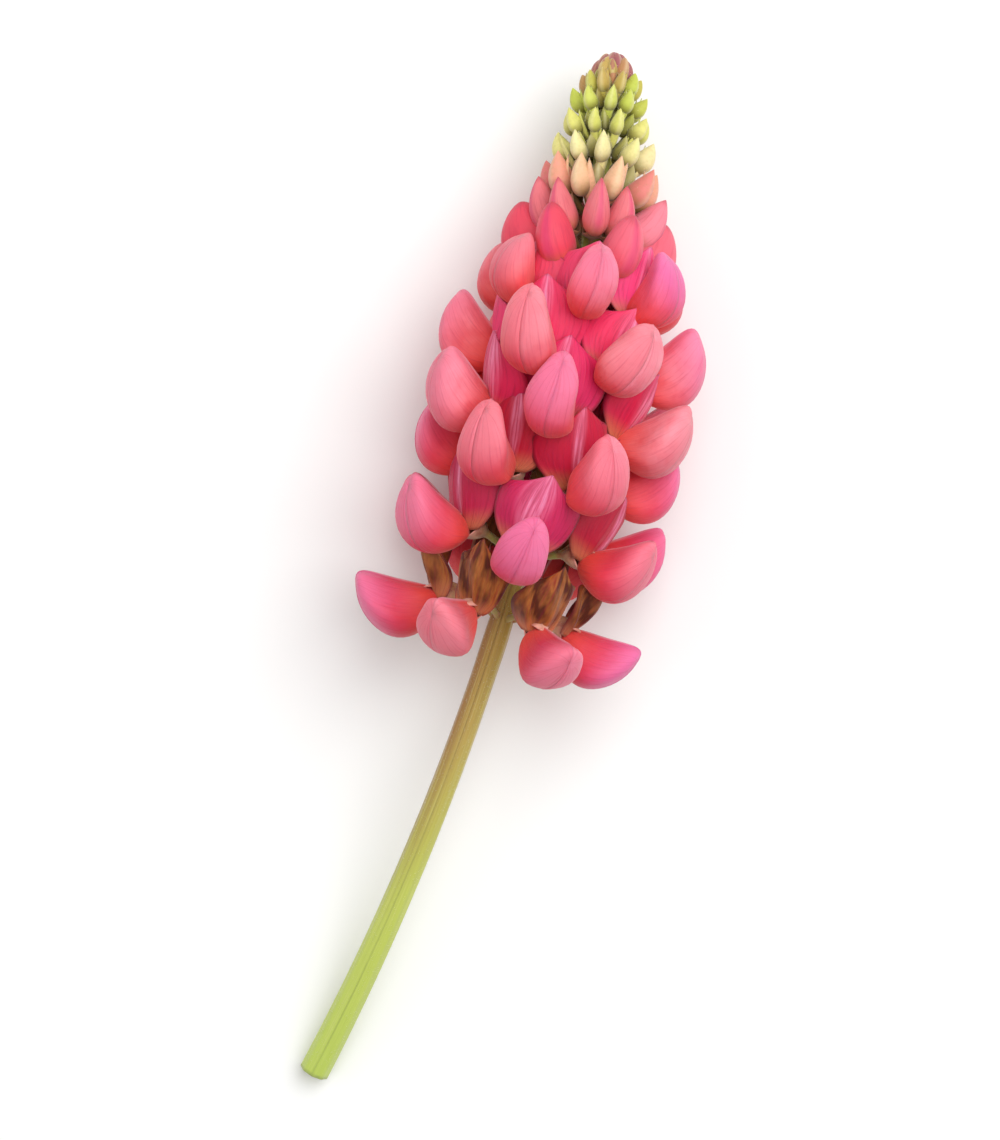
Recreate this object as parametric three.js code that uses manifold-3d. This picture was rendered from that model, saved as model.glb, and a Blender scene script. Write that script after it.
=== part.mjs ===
// A cut lupin flower spike lying on a flat surface.
// Millimetres, +Z up from the surface, +Y from the cut end of the stem towards the tip of the spike.
// Two solids: the green stem with its stalks, calyxes and young buds, and the pink petals, whose florets
// touch their neighbours all round the stem and so hold together as one body.

import * as THREE from 'three';
import { mergeVertices } from 'three/addons/utils/BufferGeometryUtils.js';
import Module from 'manifold-3d';

const { degToRad, lerp, smoothstep } = THREE.MathUtils;

// ---- driving dimensions, in millimetres and degrees ----

const STEM_LENGTH = 91; // cut end to lowest whorl, along the stem
const SPIKE_LENGTH = 101; // lowest whorl to tip
const CUT_RADIUS = 2.75;
const TIP_RADIUS = 1.4;
const PLAN_BEND = 22; // how much the stem turns, seen from above
const CUT_HEIGHT = 2.5; // of the stem's axis, a little under its radius, so that its end lies flat
const ARCH_TOP = 21.6; // height of the axis where it stands highest
const ARCH_TOP_AT = 122; // and how far that is from the cut end

const WHORLS = 14;
const OPEN_WHORLS = 6;
const PINK_WHORLS = 7; // the last of these is still closed, and above it come green buds
const WHORL_CROWDING = 1.6; // 1 spaces the whorls evenly, more crowds them towards the tip
const FLORETS_IN_WHORL = 6;
const BUDS_IN_WHORL = 9;

const PEDICEL_LENGTH = 6.5;
const TIP_PEDICEL_LENGTH = 0.8;
const PEDICEL_RADIUS = 0.6;
const PEDICEL_LEAN = 62; // from the stem
const CALYX_LENGTH = 3.8;
const CALYX_RADIUS = 1.9;

// How far a flower faces away from the stem's direction, from the oldest at the bottom to the tip.
const OLD_LEAN = 118;
const OPEN_LEAN = 68;
const BUD_LEAN = 22;
const TIP_LEAN = -8; // so the topmost buds close over the tip

const FLOWER_LENGTH = 19; // calyx base to wing tip
const WING_DEPTH = 13;
const WING_WIDTH = 11;
const WING_NARROWING = 0.3; // towards their top edge, as a share of the width
const WING_SAG = 1.6; // of the wings' middle line
const WING_UPTURN = 2.6; // of their tip
const WING_FOOT_DROP = 1;
const CLEFT = 0.8; // the wings' depth over the cleft, as a share

const STANDARD_HEIGHT = 14;
const STANDARD_HALF_WIDTH = 8.4; // measured round its curve
const STANDARD_BULGE = 1.2;
const STANDARD_FOOT = 1.3; // in front of the calyx
const OPEN_BEND_RADIUS = 8;
const CLOSED_BEND_RADIUS = 5.5;
const OPEN_SPREAD = 58; // standard to wings
const CLOSED_SPREAD = 34;
const OLD_SPREAD = 88;
const STEM_MARGIN = 5; // the least angle between a standard and the stem

const TIP_BUD_LENGTH = 4.5;
const PINK_BUD_GIRTH = 0.33; // half the width over the length
const GREEN_BUD_GIRTH = 0.31;
const BUD_DEPTH = 1.3; // over the width

const PETAL_THICKNESS = 0.7;
const CLEARANCE = 0.3; // petals to stem, stalks and calyxes
const PRESS_MARGIN = 0.1; // what a pressed flower's belly takes of the room below the stem, over its length
const LEAST_PRESSED_REACH = 0.2;
const FINEST_DETAIL = 0.02; // slivers finer than this, left where solids are joined, are smoothed away

// Shares of the way up the spike between which a floret changes.
const OLD_TO_FRESH = [-0.1, 0.25];
const SPREAD_SETTLES = [0, 0.2];
const CLOSING = [0.38, 0.62];
const TURNING_UP = [0.3, 0.66];
const STRAIGHTENING = [0.95, 1];
const SHRINKING = [0.4, 0.9];
const STALK_SHORTENING = [0.75, 1.1];

// ---- the stem's axis ----

const LENGTH = STEM_LENGTH + SPIKE_LENGTH;
const HALF_BEND = degToRad(PLAN_BEND / 2);
const ARC_RADIUS = LENGTH / (2 * HALF_BEND);
const FIRST_SLOPE = (2 * (ARCH_TOP - CUT_HEIGHT)) / ARCH_TOP_AT;

/** The axis at a distance along the stem: a circular arc in plan and a low parabola in height. */
function axisAt(distance) {
  const heading = HALF_BEND * (1 - (2 * distance) / LENGTH);
  const share = distance / ARCH_TOP_AT;
  const point = new THREE.Vector3(
    ARC_RADIUS * (Math.cos(heading) - Math.cos(HALF_BEND)),
    ARC_RADIUS * (Math.sin(HALF_BEND) - Math.sin(heading)),
    CUT_HEIGHT + (ARCH_TOP - CUT_HEIGHT) * share * (2 - share)
  );
  const along = new THREE.Vector3(Math.sin(heading), Math.cos(heading), FIRST_SLOPE * (1 - share)).normalize();
  const side = new THREE.Vector3(Math.cos(heading), -Math.sin(heading), 0);
  return { point, along, side, up: side.clone().cross(along) };
}

const stemRadius = (distance) => lerp(CUT_RADIUS, TIP_RADIUS, distance / LENGTH);

// ---- how the spike grows: a floret's form depends on its share of the way up, 0 at the lowest whorl ----

const shareOf = (whorl) => 1 - (1 - whorl / WHORLS) ** WHORL_CROWDING;
const countOf = (whorl) => (whorl < PINK_WHORLS ? FLORETS_IN_WHORL : BUDS_IN_WHORL);
const opennessOf = (share) => 1 - smoothstep(share, ...CLOSING);
const lengthOf = (share) => lerp(FLOWER_LENGTH, TIP_BUD_LENGTH, smoothstep(share, ...SHRINKING));
const pedicelOf = (share) => lerp(PEDICEL_LENGTH, TIP_PEDICEL_LENGTH, smoothstep(share, ...STALK_SHORTENING));

function leanOf(share) {
  const open = lerp(OLD_LEAN, OPEN_LEAN, smoothstep(share, ...OLD_TO_FRESH));
  const closing = lerp(open, BUD_LEAN, smoothstep(share, ...TURNING_UP));
  return lerp(closing, TIP_LEAN, smoothstep(share, ...STRAIGHTENING));
}

function spreadOf(share) {
  const fresh = lerp(CLOSED_SPREAD, OPEN_SPREAD, opennessOf(share));
  return lerp(OLD_SPREAD, fresh, smoothstep(share, ...SPREAD_SETTLES));
}

/** An even scatter within a limit either way: multiples of an irrational number, wrapped. */
const TURN_SCATTER = { step: 0.61803399, limit: degToRad(5) };
const LEAN_SCATTER = { step: 0.75487767, limit: degToRad(8) };
const YAW_SCATTER = { step: 0.41421356, limit: degToRad(9) };
const ROLL_SCATTER = { step: 0.7320508, limit: degToRad(16) };
const SIZE_SCATTER = { step: 0.56984029, limit: 0.06 };
const scatter = (number, { step, limit }) => limit * (2 * (((number + 1) * step) % 1) - 1);

/** The direction an angle away from one axis, turned towards a second one square to it. */
const turned = (from, towards, angle) =>
  from.clone().multiplyScalar(Math.cos(angle)).addScaledVector(towards, Math.sin(angle));

/**
 * Where a floret sits and which way it faces. Whorls alternate, so each floret stands over a gap in the
 * whorl below. One that would reach through the surface is pressed up along the stem until its tip lies on it.
 */
function floretAt(whorl, index) {
  const number = whorl * BUDS_IN_WHORL + index;
  const share = shareOf(whorl);
  const length = lengthOf(share) * (1 + scatter(number, SIZE_SCATTER));
  const distance = STEM_LENGTH + SPIKE_LENGTH * share;
  const radius = stemRadius(distance);
  const axis = axisAt(distance);

  const alternating = 0.5 * ((whorl + 1) % 2);
  const azimuth = (2 * Math.PI * (index + alternating)) / countOf(whorl) + scatter(number, TURN_SCATTER);
  const outward = turned(axis.up, axis.side, azimuth);

  const stalkLean = degToRad(PEDICEL_LEAN);
  const stalkReach = radius + Math.sin(stalkLean) * pedicelOf(share);
  const room = axis.point.z / Math.max(-outward.z, 0.01) - stalkReach - PRESS_MARGIN * length;
  const pressedLean = Math.asin(Math.min(1, Math.max(room / length, LEAST_PRESSED_REACH)));
  const freeLean = degToRad(leanOf(share)) + scatter(number, LEAN_SCATTER);
  const lean = room < length ? Math.min(freeLean, pressedLean) : freeLean;

  const sideways = outward.clone().cross(axis.along);
  const freedom = room < length ? 0 : 1;
  const forward = turned(turned(axis.along, outward, lean), sideways, freedom * scatter(number, YAW_SCATTER));
  const upright = turned(axis.along, outward, lean - Math.PI / 2);
  const upward = turned(upright, forward.clone().cross(upright), freedom * scatter(number, ROLL_SCATTER));
  const stalkWay = turned(axis.along, outward, stalkLean);
  return {
    share,
    length,
    lean,
    stalkWay,
    forward,
    upward,
    sideways: upward.clone().cross(forward),
    root: axis.point.clone().addScaledVector(outward, 0.4 * radius),
    base: axis.point.clone().addScaledVector(outward, radius).addScaledVector(stalkWay, pedicelOf(share)),
  };
}

const sizeOf = (floret) => floret.length / FLOWER_LENGTH;
const stalkOf = (floret) => floret.root.distanceTo(floret.base);

/** A point of a floret, from its distances forward, sideways and upward of the calyx base. */
const inFloret = (floret, forward, sideways, upward) =>
  floret.base
    .clone()
    .addScaledVector(floret.forward, forward)
    .addScaledVector(floret.sideways, sideways)
    .addScaledVector(floret.upward, upward);

// ---- shapes ----

/** Moves every vertex of a geometry to where a function of its position puts it. */
function reshaped(geometry, place) {
  const position = geometry.getAttribute('position');
  const v = new THREE.Vector3();
  for (let i = 0; i < position.count; i++) {
    const moved = place(v.fromBufferAttribute(position, i));
    position.setXYZ(i, moved.x, moved.y, moved.z);
  }
  return geometry;
}

function stemGeometry() {
  return reshaped(new THREE.CylinderGeometry(1, 1, 1, 8, 16), (v) => {
    const distance = (v.y + 0.5) * LENGTH;
    const { point, side, up } = axisAt(distance);
    const radius = stemRadius(distance);
    return point.addScaledVector(side, v.x * radius).addScaledVector(up, v.z * radius);
  });
}

/**
 * A round body along the curve a floret follows, from inside the stem to a distance past its calyx base.
 * The profile holds radii against the share of the way, and the body may be deeper than it is wide.
 */
function turnedAlong(floret, reach, sides, profile, depth = 1) {
  const bend = floret.root.clone().addScaledVector(floret.stalkWay, stalkOf(floret));
  const path = new THREE.QuadraticBezierCurve3(floret.root, bend, inFloret(floret, reach, 0, 0));
  const outline = profile.map(([radius, share]) => new THREE.Vector2(radius, share));
  return reshaped(new THREE.LatheGeometry(outline, sides), (v) => {
    const normal = floret.sideways.clone().cross(path.getTangent(v.y));
    return path.getPoint(v.y).addScaledVector(floret.sideways, v.x).addScaledVector(normal, v.z * depth);
  });
}

/** The thin stalk of a floret, widening into the calyx that cups the petals. */
function stalkGeometry(floret, growth = 0) {
  const thin = PEDICEL_RADIUS + growth;
  const wide = CALYX_RADIUS * sizeOf(floret) + growth;
  const profile = [[0, 0], [thin, 0], [thin, 0.62], [wide, 0.85], [wide * 0.9, 1], [0, 1]];
  return turnedAlong(floret, CALYX_LENGTH * sizeOf(floret) + growth, 4, profile);
}

/** A closed bud's profile from its foot on: a drop with a blunt tip, widest a third of the way up. */
function budProfile(floret, foot, girth, growth) {
  const start = (stalkOf(floret) + foot) / (stalkOf(floret) + floret.length + growth);
  const fat = girth * (floret.length - foot) + growth;
  return { start, drop: [[fat, lerp(start, 1, 0.35)], [fat * 0.8, lerp(start, 1, 0.7)], [0, 1]] };
}

/** A pink bud, which stands in the calyx. */
function pinkBudGeometry(floret) {
  const { start, drop } = budProfile(floret, CALYX_LENGTH * sizeOf(floret) + CLEARANCE, PINK_BUD_GIRTH, 0);
  return turnedAlong(floret, floret.length, 5, [[0, start], [CALYX_RADIUS, start], ...drop], BUD_DEPTH);
}

/** A green bud with its stalk, curving up along the stem. */
function greenBudGeometry(floret, growth = 0) {
  const { start, drop } = budProfile(floret, 0, GREEN_BUD_GIRTH, growth);
  const thin = PEDICEL_RADIUS + growth;
  return turnedAlong(floret, floret.length + growth, 5, [[0, 0], [thin, 0], [thin, start], ...drop], BUD_DEPTH);
}

/** The two wings, which close into a rounded pouch round the keel, with a cleft along the top. */
function wingsGeometry(floret) {
  const start = CALYX_LENGTH + CLEARANCE;
  return reshaped(new THREE.SphereGeometry(1, 8, 4), (v) => {
    const share = (1 - v.y) / 2;
    const ring = Math.hypot(v.x, v.z) || 1;
    const swell = share ** 0.25 * ring ** 0.8;
    const cleft = v.z / ring > 0.9 ? CLEFT : 1;
    const middle = WING_UPTURN * share ** 2 - WING_SAG * Math.sin(Math.PI * share) - WING_FOOT_DROP;
    const forward = lerp(start, FLOWER_LENGTH, share);
    const sideways = (WING_WIDTH / 2) * swell * (v.x / ring) * (1 - WING_NARROWING * (v.z / ring));
    const upward = middle + (WING_DEPTH / 2) * swell * (v.z / ring) * cleft;
    const size = sizeOf(floret);
    return inFloret(floret, forward * size, sideways * size, upward * size);
  });
}

/** A blade of even thickness over a surface of two parameters, split into triangles alike on both faces. */
function bladeGeometry(surface, columns, rows, thickness) {
  const face = (offset) => {
    const points = [];
    for (let row = 0; row <= rows; row++) {
      for (let column = 0; column <= columns; column++) {
        const { point, normal } = surface((2 * column) / columns - 1, row / rows);
        points.push(point.addScaledVector(normal, offset));
      }
    }
    return points;
  };
  const points = [...face(thickness / 2), ...face(-thickness / 2)];
  const back = points.length / 2;
  const at = (column, row) => row * (columns + 1) + column;
  const index = [];
  for (let row = 0; row < rows; row++) {
    for (let column = 0; column < columns; column++) {
      const [a, b, c, d] = [at(column, row), at(column + 1, row), at(column + 1, row + 1), at(column, row + 1)];
      index.push(a, b, c, a, c, d, back + a, back + c, back + b, back + a, back + d, back + c);
    }
  }
  const rim = [];
  for (let column = 0; column < columns; column++) rim.push(at(column, 0));
  for (let row = 0; row < rows; row++) rim.push(at(columns, row));
  for (let column = columns; column > 0; column--) rim.push(at(column, rows));
  for (let row = rows; row > 0; row--) rim.push(at(0, row));
  rim.forEach((a, i) => {
    const b = rim[(i + 1) % rim.length];
    index.push(a, back + a, b, b, back + a, back + b);
  });
  return new THREE.BufferGeometry().setFromPoints(points).setIndex(index);
}

/**
 * The standard, the upright petal: rounded, narrow at its foot, and bent back on both sides of its middle.
 * It stands further off the wings the older it is, until it lies along the stem.
 */
function standardGeometry(floret) {
  const size = sizeOf(floret);
  const tilt = Math.min(degToRad(spreadOf(floret.share)), floret.lean - degToRad(STEM_MARGIN));
  const bendRadius = lerp(CLOSED_BEND_RADIUS, OPEN_BEND_RADIUS, opennessOf(floret.share));
  const pointAt = (across, height) => {
    const halfWidth = STANDARD_HALF_WIDTH * Math.sin(Math.PI * lerp(0.07, 0.88, height)) ** 0.75;
    const turn = (across * halfWidth) / bendRadius;
    const rise = STANDARD_HEIGHT * height;
    const depth = bendRadius * (Math.cos(turn) - 1) + STANDARD_BULGE * Math.sin(Math.PI * height);
    const forward = CALYX_LENGTH + STANDARD_FOOT + rise * Math.cos(tilt) + depth * Math.sin(tilt);
    const upward = rise * Math.sin(tilt) - depth * Math.cos(tilt) - WING_FOOT_DROP;
    return inFloret(floret, forward * size, bendRadius * Math.sin(turn) * size, upward * size);
  };
  const step = 0.02;
  const surface = (across, height) => {
    const acrossWay = pointAt(across + step, height).sub(pointAt(across - step, height));
    const upWay = pointAt(across, height + step).sub(pointAt(across, height - step));
    return { point: pointAt(across, height), normal: acrossWay.cross(upWay).normalize() };
  };
  return bladeGeometry(surface, 4, 2, PETAL_THICKNESS);
}

// ---- solids ----

const wasm = await Module();
wasm.setup();

function solidOf(geometry) {
  const bare = geometry.clone();
  bare.deleteAttribute('normal');
  bare.deleteAttribute('uv');
  const merged = mergeVertices(bare);
  const mesh = new wasm.Mesh({
    numProp: 3,
    vertProperties: new Float32Array(merged.getAttribute('position').array),
    triVerts: new Uint32Array(merged.index.array),
  });
  return new wasm.Manifold(mesh);
}

const joined = (geometries) => geometries.map(solidOf).reduce((whole, piece) => whole.add(piece));

/** The largest body alone, which drops loose scraps and fills hollows that joining has sealed. */
const wholeBody = (solid) =>
  solid
    .simplify(FINEST_DETAIL)
    .decompose()
    .reduce((best, body) => (body.volume() > best.volume() ? body : best));

function meshOf(name, solid, material) {
  const { vertProperties, triVerts } = solid.getMesh();
  const geometry = new THREE.BufferGeometry()
    .setAttribute('position', new THREE.BufferAttribute(vertProperties, 3))
    .setIndex(new THREE.BufferAttribute(triVerts, 1));
  geometry.computeVertexNormals();
  const mesh = new THREE.Mesh(geometry, new THREE.MeshStandardMaterial({ ...material, flatShading: true }));
  mesh.name = name;
  return mesh;
}

const florets = [];
for (let whorl = 0; whorl < WHORLS; whorl++) {
  for (let index = 0; index < countOf(whorl); index++) florets.push({ whorl, ...floretAt(whorl, index) });
}
const pink = florets.filter(({ whorl }) => whorl < PINK_WHORLS);
const open = pink.filter(({ whorl }) => whorl < OPEN_WHORLS);
const closed = pink.filter(({ whorl }) => whorl >= OPEN_WHORLS);
const green = florets.filter(({ whorl }) => whorl >= PINK_WHORLS);

const belowSurface = solidOf(new THREE.BoxGeometry(LENGTH, 2 * LENGTH, LENGTH).translate(0, 0, -LENGTH / 2));

const greenery = (growth) =>
  joined([
    stemGeometry(),
    ...pink.map((floret) => stalkGeometry(floret, growth)),
    ...green.map((floret) => greenBudGeometry(floret, growth)),
  ]);

const stem = greenery(0).subtract(belowSurface);
const petals = joined([
  ...open.map(wingsGeometry),
  ...open.map(standardGeometry),
  ...closed.map(pinkBudGeometry),
])
  .subtract(greenery(CLEARANCE))
  .subtract(belowSurface);

const spike = new THREE.Group();
spike.add(
  meshOf('stem_and_buds', wholeBody(stem), { color: 0x9aa84a, roughness: 0.6, metalness: 0 }),
  meshOf('petals', wholeBody(petals), { color: 0xe8607a, roughness: 0.5, metalness: 0 })
);

const box = new THREE.Box3().setFromObject(spike);
const centre = box.getCenter(new THREE.Vector3());
spike.position.set(-centre.x, -centre.y, 0);

export default spike;
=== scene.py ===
"""A cut lupin flower spike that lies on a pale surface, seen from straight above.

The spike grows by the same rule as its solids: each floret has a share of the way up the spike, 0 at the
lowest whorl and 1 at the tip, and its lean, spread, length and stalk follow from that. Lengths are worked out
in millimetres and turned to metres where a mesh is made.
"""

import math
from types import SimpleNamespace

import bmesh
import bpy
import numpy as np
from bpy.props import FloatProperty, FloatVectorProperty, IntProperty, PointerProperty
from mathutils import Matrix, Vector


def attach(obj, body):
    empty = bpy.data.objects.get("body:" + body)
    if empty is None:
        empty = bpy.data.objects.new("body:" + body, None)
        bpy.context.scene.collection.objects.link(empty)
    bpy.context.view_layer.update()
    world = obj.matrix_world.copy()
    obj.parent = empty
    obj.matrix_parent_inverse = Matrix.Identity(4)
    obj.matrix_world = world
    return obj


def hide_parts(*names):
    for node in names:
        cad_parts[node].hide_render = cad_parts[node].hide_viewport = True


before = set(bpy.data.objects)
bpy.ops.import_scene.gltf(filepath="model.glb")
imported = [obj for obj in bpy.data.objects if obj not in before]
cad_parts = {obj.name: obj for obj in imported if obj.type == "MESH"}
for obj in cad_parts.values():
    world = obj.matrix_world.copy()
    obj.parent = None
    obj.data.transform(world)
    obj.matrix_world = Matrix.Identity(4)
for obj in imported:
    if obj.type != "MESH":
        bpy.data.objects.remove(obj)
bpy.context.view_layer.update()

bl_info = {
    "name": "Lupin flower spike",
    "version": (1, 0, 0),
    "blender": (4, 5, 0),
    "location": "View3D > Sidebar > Lupin",
    "description": "Makes a cut lupin flower spike that lies on a pale surface",
    "category": "Add Mesh",
}

MM = 0.001
MERGE_DISTANCE = 1e-6  # metres

# ---- the rule's numbers, in millimetres and degrees ----

AXIS_FOOT = np.array([-8.4664, -97.4357, 0.0])  # the cut end of the stem, on the surface
CUT_HEIGHT = 2.5
ARCH_TOP = 21.6
ARCH_TOP_AT = 122.0
PLAN_BEND = 22.0

WHORLS = 14
OPEN_WHORLS = 6
PINK_WHORLS = 7
WHORL_CROWDING = 1.6
FLORETS_IN_WHORL = 6
BUDS_IN_WHORL = 9
TIP_BUDS = 7

PEDICEL_LENGTH = 6.5
TIP_PEDICEL_LENGTH = 0.8
PEDICEL_LEAN = 62.0
PEDICEL_ROOT = 0.4  # how far out inside the stem a stalk begins, as a share of its radius
CALYX_LENGTH = 3.8
CALYX_RADIUS = 1.9
PETAL_GAP = 0.3
OLD_LEAN = 118.0
OPEN_LEAN = 68.0
BUD_LEAN = 22.0
TIP_LEAN = -8.0
OPEN_SPREAD = 58.0
CLOSED_SPREAD = 34.0
OLD_SPREAD = 88.0
STEM_MARGIN = 5.0
TIP_BUD_LENGTH = 4.5
FULL_FLOWER = 19.0  # the length at which a floret's other sizes hold

# A floret that is pressed up keeps a share of its length free, and reaches out by at least another share.
PRESS_MARGIN = 0.10
PRESSED_REACH = 0.2
LEAST_DROP = 0.01  # keeps the room of a floret that points up a finite number

# Small buds: where on its stalk one begins, its girth, and how its drop swells and tapers.
BUD_FOOT = 0.84
BUD_GIRTH = 0.25
BUD_SWELL = 0.45
BUD_TAPER = 0.95
TIP_BUD_TAPER = 0.5
DOME_DEPTH = 0.35

# Each change goes on between two shares of the way up.
OLD_TO_FRESH = (-0.1, 0.25)
SPREAD_SETTLES = (0.0, 0.2)
CLOSING = (0.38, 0.62)
TURNING_UP = (0.3, 0.66)
STRAIGHTENING = (0.95, 1.0)
SHRINKING = (0.4, 0.9)
STALK_SHORTENING = (0.75, 1.1)
WITHERED_BELOW = (0.02, 0.1)
BRIGHTENING = (0.1, 0.35)
DOMING = (0.93, 1.0)
BLUNTING = (0.92, 1.0)

# Each scatter has its step and its limit.
TURN_SCATTER = (0.61803399, math.radians(5))
LEAN_SCATTER = (0.75487767, math.radians(8))
YAW_SCATTER = (0.41421356, math.radians(9))
ROLL_SCATTER = (0.7320508, math.radians(16))
SIZE_SCATTER = (0.56984029, 0.06)
PALE_SCATTER = (0.7548777, 1.0)
ROSY_SCATTER = (0.3819660, 1.0)
BUD_TINT_SCATTER = (0.3819660, 0.025)
WING_WIDTH_SCATTER = (0.6457513, 0.09)
WING_DEPTH_SCATTER = (0.2360680, 0.06)
WING_BOW_SCATTER = (0.5436, 0.75)
WING_SNAKE_SCATTER = (0.8541, 0.75)

# The least height of a piece's surface, which leaves room for what Solidify adds below it.
SHELL_CLEARANCE = 0.05
BLADE_CLEARANCE = 0.2
CUP_CLEARANCE = 0.25
KEEL_CLEARANCE = 0.4
HAIR_CLEARANCE = 0.1


def linear(code):
    """The linear colour of an sRGB hex code such as "c2c75a"."""
    value = np.array([int(code[i : i + 2], 16) for i in (0, 2, 4)]) / 255
    return tuple(np.where(value <= 0.04045, value / 12.92, ((value + 0.055) / 1.055) ** 2.4))


def length_property(name, description, millimetres):
    """A length that the user can change, in metres."""
    return FloatProperty(
        name=name, description=description, default=millimetres * MM, min=0.0, unit="LENGTH", precision=5
    )


def colour_property(name, description, code):
    """A colour that the user can change."""
    return FloatVectorProperty(
        name=name, description=description, default=linear(code), size=3, min=0.0, max=1.0, subtype="COLOR"
    )


class LupinSizes(bpy.types.PropertyGroup):
    """Sizes of the spike's parts."""

    stem_length: length_property("Bare stem", "Cut end to lowest whorl, along the stem", 91)
    spike_length: length_property("Spike", "Lowest whorl to tip, along the stem", 101)
    cut_radius: length_property("Radius at the cut", "Radius of the stem at its cut end", 2.75)
    tip_radius: length_property("Radius at the tip", "Radius of the stem at the tip of the spike", 1.4)
    flower_length: length_property("Floret", "Calyx base to wing tip of an open floret", 19)
    wing_depth: length_property("Wing depth", "Height of a floret's wings, seen from the side", 13)
    wing_width: length_property("Wing width", "Width of the pouch that the two wings make", 11)
    standard_height: length_property("Standard height", "Foot to top of the upright petal", 14)
    standard_half_width: length_property("Standard half width", "Middle to edge, round the curve", 8.4)
    petal_thickness: length_property("Petal thickness", "Thickness of every petal", 0.28)
    hair_length: length_property("Hair length", "Length of the silky hairs on stem and calyx", 0.7)


class LupinColours(bpy.types.PropertyGroup):
    """Colours of the petals, buds and stem."""

    wing_old: colour_property("Old wing", "Wings of the lowest whorl", "cc2a45")
    wing_fresh: colour_property("Fresh wing", "Wings half way up the open part", "f75556")
    wing_pale: colour_property("Pale wing", "The palest wings", "ffaeba")
    standard_old: colour_property("Old standard", "Withered standards of the lowest whorl", "55230d")
    standard_fresh: colour_property("Fresh standard", "Standards above the lowest whorl", "c4143a")
    standard_young: colour_property("Young standard", "Standards of the youngest florets", "eb3166")
    bud_pink: colour_property("Pink bud", "Closed buds", "e54e64")
    bud_cream: colour_property("Cream bud", "Buds that begin to colour", "efe2a6")
    bud_green: colour_property("Green bud", "Young buds near the tip", "c0cc4c")
    stem_green: colour_property("Stem", "The stem's green", "bcc657")
    stem_red: colour_property("Stem, sunny side", "The stem's reddish brown side", "94622c")


class LupinStage(bpy.types.PropertyGroup):
    """Camera, floor and lights."""

    lean: FloatProperty(
        name="Lean",
        description="How far the spike leans to the right in the picture",
        default=math.radians(16.7),
        subtype="ANGLE",
    )
    camera_height: FloatProperty(
        name="Camera height", description="Camera above the surface", default=0.95, min=0.3, unit="LENGTH"
    )
    margin: FloatProperty(
        name="Margin",
        description="Picture height over the spike's own",
        default=1.1,
        min=1.0,
        subtype="FACTOR",
    )
    floor: colour_property("Floor", "Colour of the surface", "f7f7f6")
    key_power: FloatProperty(name="Key light", description="Power in watts", default=7.3, unit="POWER")
    fill_power: FloatProperty(name="Fill light", description="Power in watts", default=1.4, unit="POWER")
    sky: FloatProperty(name="Sky", description="Strength of the even light all round", default=0.46, min=0.0)


class LupinHairs(bpy.types.PropertyGroup):
    """How many hairs there are."""

    on_stem: IntProperty(name="On the stem", description="Hairs on the bare stem", default=3600, min=0)
    on_calyx: IntProperty(name="On a calyx", description="Hairs on each calyx", default=34, min=0)
    on_bud: IntProperty(name="On a bud", description="Hairs on each green bud", default=22, min=0)


GROUPS = {
    "lupin_sizes": LupinSizes,
    "lupin_colours": LupinColours,
    "lupin_hairs": LupinHairs,
    "lupin_stage": LupinStage,
}


def sizes():
    """The sizes the user has set, in millimetres."""
    group = bpy.context.scene.lupin_sizes
    return SimpleNamespace(**{key: getattr(group, key) / MM for key in LupinSizes.__annotations__})


def colours():
    """The colours the user has set, with an alpha of 1."""
    group = bpy.context.scene.lupin_colours
    return SimpleNamespace(**{key: (*getattr(group, key), 1.0) for key in LupinColours.__annotations__})


# ---- the growth rule ----


def lerp(a, b, share):
    return a + (b - a) * share


def smoothstep(x, low, high):
    """0 below low and 1 above high, with 3t^2 - 2t^3 between them."""
    share = np.clip((x - low) / (high - low), 0, 1)
    return share * share * (3 - 2 * share)


def bump_of(x, centre, width):
    """A bell of height 1: e to the minus ((x - centre) / width) squared."""
    return np.exp(-(((x - centre) / width) ** 2))


def unit(vectors):
    return vectors / np.linalg.norm(vectors, axis=-1, keepdims=True)


def turned(start, towards, angle):
    """Directions an angle away from start, turned towards a second direction square to it."""
    angle = np.asarray(angle)[..., None]
    return start * np.cos(angle) + towards * np.sin(angle)


def scatter(number, rule):
    """An even scatter: multiples of an irrational number, wrapped to minus the limit to the limit."""
    step, limit = rule
    return limit * (2 * (((number + 1) * step) % 1) - 1)


def axis_at(distance):
    """The stem's axis at distances from its cut end: a circular arc in plan and a low parabola in height."""
    size = sizes()
    length = size.stem_length + size.spike_length
    half_bend = math.radians(PLAN_BEND / 2)
    radius = length / (2 * half_bend)
    distance = np.asarray(distance, float)
    heading = half_bend * (1 - 2 * distance / length)
    share = distance / ARCH_TOP_AT
    point = np.stack(
        [
            radius * (np.cos(heading) - math.cos(half_bend)),
            radius * (math.sin(half_bend) - np.sin(heading)),
            CUT_HEIGHT + (ARCH_TOP - CUT_HEIGHT) * share * (2 - share),
        ],
        axis=-1,
    )
    slope = 2 * (ARCH_TOP - CUT_HEIGHT) / ARCH_TOP_AT * (1 - share)
    along = unit(np.stack([np.sin(heading), np.cos(heading), slope], axis=-1))
    side = np.stack([np.cos(heading), -np.sin(heading), np.zeros_like(heading)], axis=-1)
    return point + AXIS_FOOT, along, side, np.cross(side, along)


def stem_radius(distance):
    """The radius falls evenly from the cut end to the tip."""
    size = sizes()
    return lerp(size.cut_radius, size.tip_radius, distance / (size.stem_length + size.spike_length))


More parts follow.
